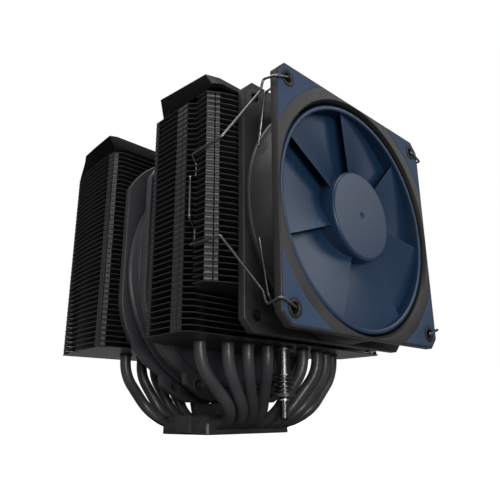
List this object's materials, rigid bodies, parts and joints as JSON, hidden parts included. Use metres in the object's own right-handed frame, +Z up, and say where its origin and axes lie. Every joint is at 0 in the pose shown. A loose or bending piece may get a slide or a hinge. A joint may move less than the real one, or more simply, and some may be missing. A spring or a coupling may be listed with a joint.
{
  "type": "cpu tower cooler",
  "caption": "Dual-tower processor cooler: black fin stacks on U-shaped heat pipes, a wire-clipped front fan with navy corners and impeller, a centre fan, and sprung mounting screws.",
  "frame": {"origin": "centre of the cold plate's contact face", "axes": "+Z up, away from the processor; air flows along +Y from the clipped front fan to the rear tower; +X is the width"},
  "size_m": [0.1542, 0.1667, 0.1656],
  "materials": {
    "fin_black": "black electro-coated aluminium, satin",
    "pipe_black": "black coated copper, satin",
    "base_black": "black coated copper, matte",
    "contact_metal": "ground and plated",
    "cover_black": "black anodised sheet, satin",
    "bar_black": "black painted steel",
    "screw_steel": "dark nickel",
    "spring_steel": "bright wire",
    "wire_steel": "bright drawn wire",
    "frame_plastic": "fine textured warm dark grey",
    "centre_frame_plastic": "fine textured dark grey",
    "blue_rubber": "matte navy rubber",
    "dark_rubber": "matte dark navy rubber",
    "blue_blades": "satin navy plastic",
    "dark_blades": "satin black plastic",
    "steel": "bare steel",
    "magnet": "dark ferrite",
    "bronze": "sintered bronze",
    "copper_wire": "enamelled copper wire",
    "board_green": "circuit board"
  },
  "bodies": {
    "cooler": {"cold_plate": "contact_metal", "base_block": "base_black", "heat_pipe_1": "pipe_black", "heat_pipe_2": "pipe_black", "heat_pipe_3": "pipe_black", "heat_pipe_4": "pipe_black", "heat_pipe_5": "pipe_black", "heat_pipe_6": "pipe_black", "heat_pipe_7": "pipe_black", "heat_pipe_8": "pipe_black", "front_fins_upper": "fin_black", "front_fins_lower": "fin_black", "rear_fins": "fin_black", "front_cover": "cover_black", "rear_cover": "cover_black", "crossbar": "bar_black", "crossbar_screws": "screw_steel", "screw_spring_front": "spring_steel", "screw_spring_rear": "spring_steel"},
    "front_fan": {"front_fan_frame": "frame_plastic", "front_fan_front_pads": "blue_rubber", "front_fan_rear_pads": "blue_rubber", "front_fan_bearing": "bronze", "front_fan_stator_core": "steel", "front_fan_windings": "copper_wire", "front_fan_circuit_board": "board_green", "fan_clip_left": "wire_steel", "fan_clip_right": "wire_steel"},
    "front_impeller": {"front_fan_impeller": "blue_blades", "front_fan_rotor_yoke": "steel", "front_fan_ring_magnet": "magnet", "front_fan_shaft": "steel", "front_fan_shaft_clip": "steel"},
    "centre_fan": {"centre_fan_frame": "centre_frame_plastic", "centre_fan_front_pads": "dark_rubber", "centre_fan_rear_pads": "dark_rubber", "centre_fan_bearing": "bronze", "centre_fan_stator_core": "steel", "centre_fan_windings": "copper_wire", "centre_fan_circuit_board": "board_green"},
    "centre_impeller": {"centre_fan_impeller": "dark_blades", "centre_fan_rotor_yoke": "steel", "centre_fan_ring_magnet": "magnet", "centre_fan_shaft": "steel", "centre_fan_shaft_clip": "steel"},
    "front_screw_washer": {"spring_washer_front": "screw_steel"},
    "front_screw": {"mounting_screw_front": "screw_steel", "screw_clip_front": "steel"},
    "rear_screw_washer": {"spring_washer_rear": "screw_steel"},
    "rear_screw": {"mounting_screw_rear": "screw_steel", "screw_clip_rear": "steel"}
  },
  "joints": [
    {"name": "front_fan_height", "type": "slide", "parent": "cooler", "child": "front_fan", "axis": [0, 0, 1], "range_m": [0, 0.02]},
    {"name": "front_fan_spin", "type": "hinge", "parent": "front_fan", "child": "front_impeller", "pos_m": [0, -0.0868, 0.1017], "axis": [0, 1, 0], "continuous": true},
    {"name": "centre_fan_lift", "type": "slide", "parent": "cooler", "child": "centre_fan", "axis": [0, 0, 1], "range_m": [0, 0.15]},
    {"name": "centre_fan_spin", "type": "hinge", "parent": "centre_fan", "child": "centre_impeller", "pos_m": [0, -0.0012, 0.0852], "axis": [0, 1, 0], "continuous": true},
    {"name": "front_screw_press", "type": "slide", "parent": "cooler", "child": "front_screw_washer", "axis": [0, 0, -1], "range_m": [0, 0.004], "stiffness_N_per_m": 3000, "springref_m": -0.001, "deforming": ["screw_spring_front"]},
    {"name": "front_screw_turn", "type": "hinge", "parent": "front_screw_washer", "child": "front_screw", "pos_m": [0, -0.044, 0.02], "axis": [0, 0, 1], "continuous": true},
    {"name": "rear_screw_press", "type": "slide", "parent": "cooler", "child": "rear_screw_washer", "axis": [0, 0, -1], "range_m": [0, 0.004], "stiffness_N_per_m": 3000, "springref_m": -0.001, "deforming": ["screw_spring_rear"]},
    {"name": "rear_screw_turn", "type": "hinge", "parent": "rear_screw_washer", "child": "rear_screw", "pos_m": [0, 0.044, 0.02], "axis": [0, 0, 1], "continuous": true}
  ]
}
